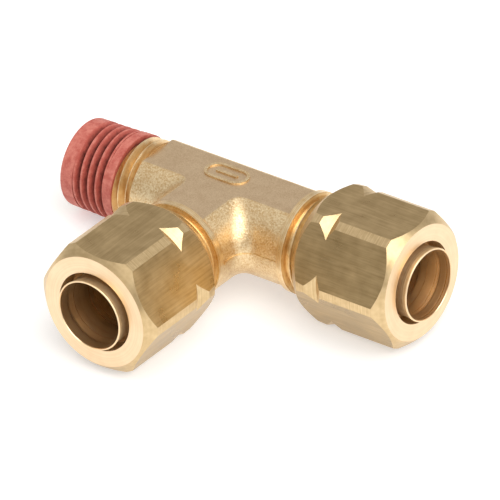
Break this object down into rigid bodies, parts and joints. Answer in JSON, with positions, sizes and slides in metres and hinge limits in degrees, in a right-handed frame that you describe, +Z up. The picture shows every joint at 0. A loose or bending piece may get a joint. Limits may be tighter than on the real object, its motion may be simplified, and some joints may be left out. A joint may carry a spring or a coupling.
{
  "type": "compression run tee",
  "caption": "Brass air-brake run tee: male pipe thread on one run end, nut-and-sleeve tube ports on the other end and on the branch.",
  "frame": {"origin": "centre of the pipe thread's end, on the run's axis", "axes": "+X along the run out of its tube port, -X out of the pipe thread, -Y along the branch out of its tube port, +Z up through the forging's top flat"},
  "size_m": [0.0636, 0.0448, 0.0196],
  "materials": {
    "forged_brass": "forged, matte, with turned ends",
    "turned_brass": "drawn hex bar, turned faces",
    "sleeve_brass": "turned, smooth",
    "thread_sealant": "dry brushed-on sealant"
  },
  "bodies": {
    "tee": {"tee_body": "forged_brass", "thread_sealant": "thread_sealant", "run_tube_support": "sleeve_brass", "branch_tube_support": "sleeve_brass"},
    "run_sleeve": {"run_sleeve": "sleeve_brass"},
    "run_nut": {"run_nut": "turned_brass"},
    "branch_sleeve": {"branch_sleeve": "sleeve_brass"},
    "branch_nut": {"branch_nut": "turned_brass"}
  },
  "joints": [
    {"name": "run_sleeve_advance", "type": "slide", "parent": "tee", "child": "run_sleeve", "axis": [1, 0, 0], "range_m": [0, 0.00776]},
    {"name": "run_nut_turn", "type": "hinge", "parent": "run_sleeve", "child": "run_nut", "pos_m": [0.0539, 0, 0], "axis": [1, 0, 0], "range_deg": [0, 1980]},
    {"name": "branch_sleeve_advance", "type": "slide", "parent": "tee", "child": "branch_sleeve", "axis": [0, -1, 0], "range_m": [0, 0.00776]},
    {"name": "branch_nut_turn", "type": "hinge", "parent": "branch_sleeve", "child": "branch_nut", "pos_m": [0.0269, -0.0244, 0], "axis": [0, -1, 0], "range_deg": [0, 1980]}
  ],
  "couplings": [
    {"joint": "run_nut_turn", "follows": "run_sleeve_advance", "rad_per_m": 4452.7},
    {"joint": "branch_nut_turn", "follows": "branch_sleeve_advance", "rad_per_m": 4452.7}
  ]
}
